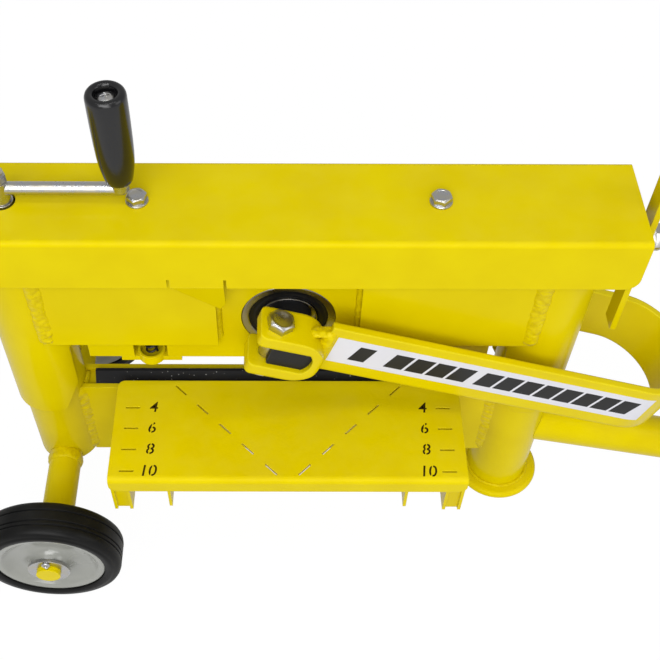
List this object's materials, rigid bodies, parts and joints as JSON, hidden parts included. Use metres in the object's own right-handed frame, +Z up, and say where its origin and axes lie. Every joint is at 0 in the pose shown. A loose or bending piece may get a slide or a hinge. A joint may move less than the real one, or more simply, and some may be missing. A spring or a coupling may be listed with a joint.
{
  "type": "masonry block splitter",
  "caption": "Hand-operated masonry splitter: columns and beam with lower blade, sprung table, crank-raised head, and a forked lever whose cam presses the upper blade down.",
  "frame": {"origin": "on the ground, midway between the axes of the two columns, in the plane of the blades", "axes": "+Z up; +X along the blades, from the wheels and the crank towards the lever; -Y is the front, where the table is"},
  "size_m": [0.9329, 0.288, 0.4503],
  "materials": {
    "yellow_paint": "satin",
    "zinc": "satin",
    "bearing_steel": "polished",
    "black_steel": "satin",
    "chain_steel": "oiled",
    "tyre": "matt",
    "grip_rubber": "matt",
    "grip_plastic": "satin"
  },
  "bodies": {
    "frame": {"left_post": "yellow_paint", "right_post": "yellow_paint", "right_foot": "yellow_paint", "beam_front_plate": "yellow_paint", "beam_rear_plate": "yellow_paint", "beam_spacer": "yellow_paint", "lower_blade": "black_steel", "axle_tube": "yellow_paint", "axle": "yellow_paint", "wheel_washers": "zinc", "split_pins": "zinc", "spindle_nuts": "zinc", "support_leg": "yellow_paint", "leg_foot": "grip_rubber", "table_arms": "yellow_paint", "table_springs": "zinc"},
    "table": {"table": "yellow_paint", "table_pins": "zinc"},
    "front_wheel": {"front_rim": "zinc", "front_tyre": "tyre"},
    "rear_wheel": {"rear_rim": "zinc", "rear_tyre": "tyre"},
    "head": {"left_sleeve": "yellow_paint", "right_sleeve": "yellow_paint", "sleeve_caps": "yellow_paint", "front_web": "yellow_paint", "rear_web": "yellow_paint", "web_spacers": "yellow_paint", "front_wings": "yellow_paint", "rear_wings": "yellow_paint", "spring_cups": "yellow_paint", "outer_races": "bearing_steel", "bearing_seals": "grip_rubber", "bearing_balls": "bearing_steel", "cover_pillars": "yellow_paint", "cover": "yellow_paint", "cover_bolts": "zinc", "catch_bolt": "zinc", "lift_chain": "chain_steel", "return_springs": "zinc"},
    "blade": {"blade_carrier": "black_steel", "thrust_pad": "zinc", "upper_blade": "black_steel"},
    "lever": {"cam_shaft": "black_steel", "inner_races": "bearing_steel", "front_clevis": "yellow_paint", "rear_clevis": "yellow_paint", "clevis_bolts": "zinc", "yoke": "yellow_paint", "lever_socket": "yellow_paint", "socket_bolt": "zinc", "lever_tube": "yellow_paint", "lever_grip": "grip_rubber"},
    "crank": {"left_spindle": "zinc", "left_sprocket": "chain_steel", "crank_arm": "zinc"},
    "crank_handle": {"crank_grip": "grip_plastic"},
    "right_drive": {"right_spindle": "zinc", "right_sprocket": "chain_steel"},
    "catch": {"transport_catch": "yellow_paint"}
  },
  "joints": [
    {"name": "head_lift", "type": "slide", "parent": "frame", "child": "head", "axis": [0, 0, 1], "range_m": [-0.02, 0.08]},
    {"name": "crank_turn", "type": "hinge", "parent": "head", "child": "crank", "pos_m": [-0.2, 0, 0.34], "axis": [0, 0, 1], "range_deg": [-1800, 7200], "deforming": ["lift_chain"]},
    {"name": "crank_grip_spin", "type": "hinge", "parent": "crank", "child": "crank_handle", "pos_m": [-0.1155, 0, 0.4], "axis": [0, 0, 1], "continuous": true},
    {"name": "right_spindle_turn", "type": "hinge", "parent": "head", "child": "right_drive", "pos_m": [0.2, 0, 0.34], "axis": [0, 0, 1], "range_deg": [-1800, 7200]},
    {"name": "lever_swing", "type": "hinge", "parent": "head", "child": "lever", "pos_m": [0, 0, 0.253], "axis": [0, -1, 0], "range_deg": [0, 100]},
    {"name": "blade_press", "type": "slide", "parent": "head", "child": "blade", "axis": [0, 0, 1], "range_m": [0, 0.01], "deforming": ["return_springs"]},
    {"name": "catch_swing", "type": "hinge", "parent": "head", "child": "catch", "pos_m": [0.25675, 0, 0.32], "axis": [-1, 0, 0], "range_deg": [0, 155]},
    {"name": "table_sink", "type": "slide", "parent": "frame", "child": "table", "axis": [0, 0, -1], "range_m": [0, 0.008], "stiffness_N_per_m": 3000, "springref_m": -0.01, "deforming": ["table_springs"]},
    {"name": "front_wheel_turn", "type": "hinge", "parent": "frame", "child": "front_wheel", "pos_m": [-0.2, -0.1205, 0.0595], "axis": [0, 1, 0], "continuous": true},
    {"name": "rear_wheel_turn", "type": "hinge", "parent": "frame", "child": "rear_wheel", "pos_m": [-0.2, 0.1205, 0.0595], "axis": [0, 1, 0], "continuous": true}
  ],
  "couplings": [
    {"joint": "crank_turn", "follows": "head_lift", "rad_per_m": 1570.8},
    {"joint": "right_spindle_turn", "follows": "head_lift", "rad_per_m": 1570.8},
    {"joint": "blade_press", "follows": "lever_swing", "m_per_rad": 0.005729}
  ]
}
